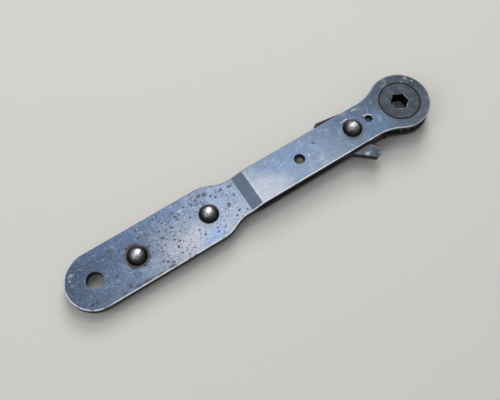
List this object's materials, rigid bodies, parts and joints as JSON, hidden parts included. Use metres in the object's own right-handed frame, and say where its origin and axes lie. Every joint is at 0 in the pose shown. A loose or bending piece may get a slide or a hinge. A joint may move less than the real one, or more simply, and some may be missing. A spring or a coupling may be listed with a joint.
{
  "type": "ratchet wrench",
  "caption": "Flat reversible ratchet wrench: a toothed wheel with a hexagon socket held between two riveted steel plates, reversed by a thumb lever.",
  "frame": {"origin": "on the drive axis, midway between the two outer faces of the head", "axes": "+X from the drive wheel along the handle to the hanging hole, +Y towards the side where the thumb tab stands out, +Z along the drive axis, square to the plates"},
  "size_m": [0.1575, 0.0265, 0.012],
  "materials": {
    "plate_steel": "satin blued steel, worn",
    "wheel_steel": "dark hardened steel",
    "lever_steel": "satin steel",
    "rivet_steel": "smooth dark steel",
    "bright_steel": "turned steel",
    "block_steel": "rough plain steel",
    "spring_steel": "drawn spring wire"
  },
  "bodies": {
    "frame": {"top_plate": "plate_steel", "bottom_plate": "plate_steel", "pivot_bush": "bright_steel", "pivot_rivet": "rivet_steel", "front_handle_rivet": "rivet_steel", "rear_handle_rivet": "rivet_steel", "spring_block": "block_steel", "detent_spring": "spring_steel"},
    "wheel": {"ratchet_wheel": "wheel_steel"},
    "lever": {"pawl_lever": "lever_steel"},
    "plunger": {"detent_plunger": "bright_steel"}
  },
  "joints": [
    {"name": "wheel_spin", "type": "hinge", "parent": "frame", "child": "wheel", "pos_m": [0, 0, 0], "axis": [0, 0, 1], "continuous": true},
    {"name": "lever_reverse", "type": "hinge", "parent": "frame", "child": "lever", "pos_m": [0.0226, 0, 0], "axis": [0, 0, 1], "range_deg": [0, 15.2]},
    {"name": "plunger_slide", "type": "slide", "parent": "frame", "child": "plunger", "axis": [1, 0, 0], "range_m": [0, 0.001], "stiffness_N_per_m": 1500, "springref_m": -0.002, "deforming": ["detent_spring"]}
  ]
}
